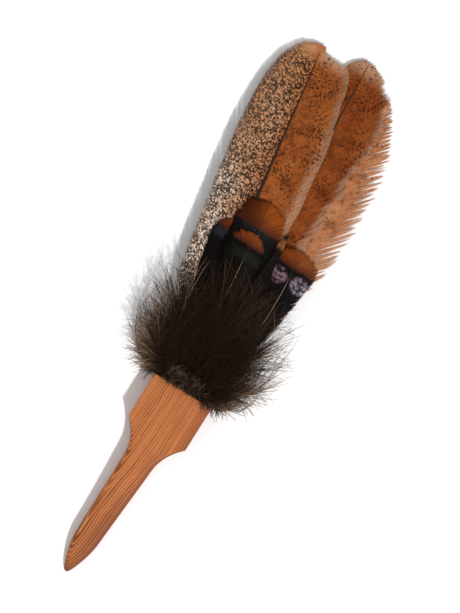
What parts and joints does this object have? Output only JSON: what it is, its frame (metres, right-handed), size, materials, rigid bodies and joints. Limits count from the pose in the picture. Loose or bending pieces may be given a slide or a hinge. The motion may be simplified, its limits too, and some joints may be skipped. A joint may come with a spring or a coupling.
{
  "type": "feather duster",
  "caption": "Hand-held feather duster: a flat wooden paddle handle whose mouth holds glued and bound wing feathers, short covert feathers and a ruff of soft down.",
  "frame": {"origin": "middle of the paddle's flat back, which lies on the surface", "axes": "+Y from the grip to the feather tips, +X to the right seen from the front, +Z out of the front face"},
  "size_m": [0.1349, 0.457, 0.0279],
  "materials": {
    "oiled_wood": "oiled straight-grained softwood with darker growth lines, satin",
    "hide_glue": "set amber glue",
    "waxed_thread": "waxed brown linen thread",
    "dark_shaft": "dark horny feather shaft, slightly glossy",
    "pale_shaft": "pale horny feather shaft, slightly glossy",
    "mottled_vane": "cream and tan barbs closely mottled with black-brown",
    "rufous_vane": "rufous barbs with small black specks and a pale margin",
    "pale_rufous_vane": "pale rufous barbs parted into loose clumps",
    "covert_vane": "black barbs with a glossy eye spot and a copper tip",
    "dark_down": "fine dark brown down"
  },
  "bodies": {
    "root": {"handle": "oiled_wood", "quill_glue": "hide_glue", "binding_thread": "waxed_thread", "left_feather_shaft": "dark_shaft", "left_feather_left_vane": "mottled_vane", "left_feather_right_vane": "rufous_vane", "middle_feather_shaft": "dark_shaft", "middle_feather_left_vane": "rufous_vane", "middle_feather_right_vane": "rufous_vane", "right_feather_shaft": "dark_shaft", "right_feather_left_vane": "rufous_vane", "right_feather_right_vane": "pale_rufous_vane", "upper_covert_shaft": "pale_shaft", "upper_covert_vane": "covert_vane", "lower_covert_shaft": "pale_shaft", "lower_covert_vane": "covert_vane", "outer_covert_shaft": "pale_shaft", "outer_covert_vane": "covert_vane", "centre_covert_shaft": "pale_shaft", "centre_covert_vane": "covert_vane", "right_covert_shaft": "pale_shaft", "right_covert_vane": "covert_vane", "front_plume_1": "dark_down", "front_plume_2": "dark_down", "front_plume_3": "dark_down", "front_plume_4": "dark_down", "front_plume_5": "dark_down", "back_plume_1": "dark_down", "back_plume_2": "dark_down", "back_plume_3": "dark_down", "back_plume_4": "dark_down", "back_plume_5": "dark_down", "side_plume_left": "dark_down", "side_plume_right": "dark_down"}
  },
  "joints": []
}
